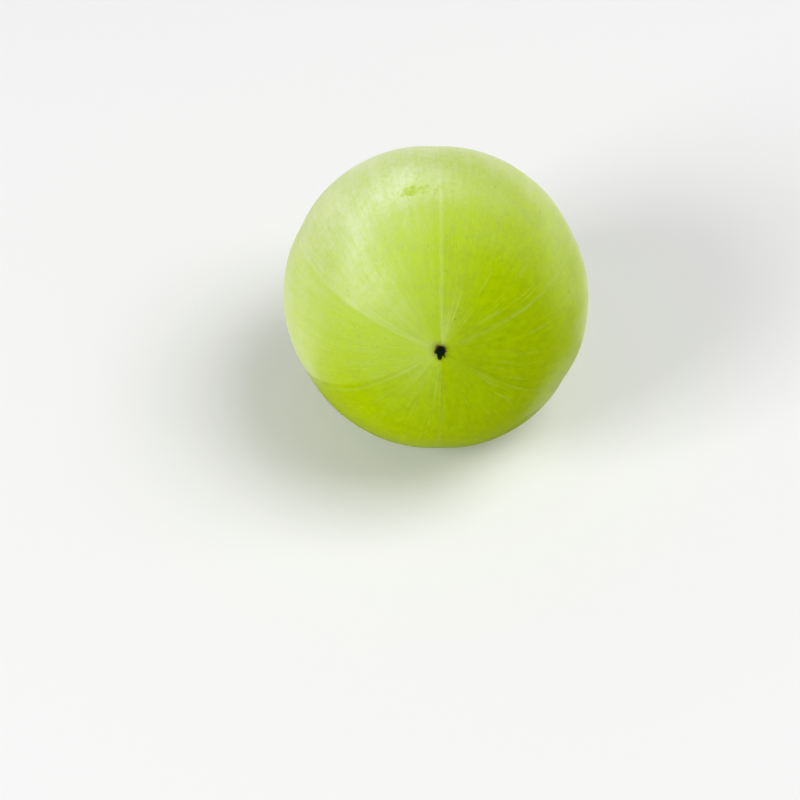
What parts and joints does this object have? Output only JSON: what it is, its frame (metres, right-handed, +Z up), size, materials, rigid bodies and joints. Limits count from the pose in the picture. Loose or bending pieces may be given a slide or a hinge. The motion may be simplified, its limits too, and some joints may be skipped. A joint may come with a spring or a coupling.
{
  "type": "indian gooseberry",
  "caption": "Whole round green fruit with shallow lengthwise furrows and a small dried calyx at the stem end, lying on a small flat spot.",
  "frame": {"origin": "middle of the whole fruit's bounding box, on the surface that the fruit rests on", "axes": "+Z up; the fruit's own axis lies in the YZ plane, with the stem end towards -Y and 30 degrees above the level; +X across the fruit, its widest way"},
  "size_m": [0.03, 0.029, 0.0291],
  "materials": {
    "skin": "smooth, thin, slightly waxy translucent yellow-green fruit skin with fine pale lengthwise fibres",
    "dried_calyx": "matt dried brown plant tissue with a blackish green middle"
  },
  "bodies": {
    "root": {"fruit": "skin", "calyx": "dried_calyx"}
  },
  "joints": []
}
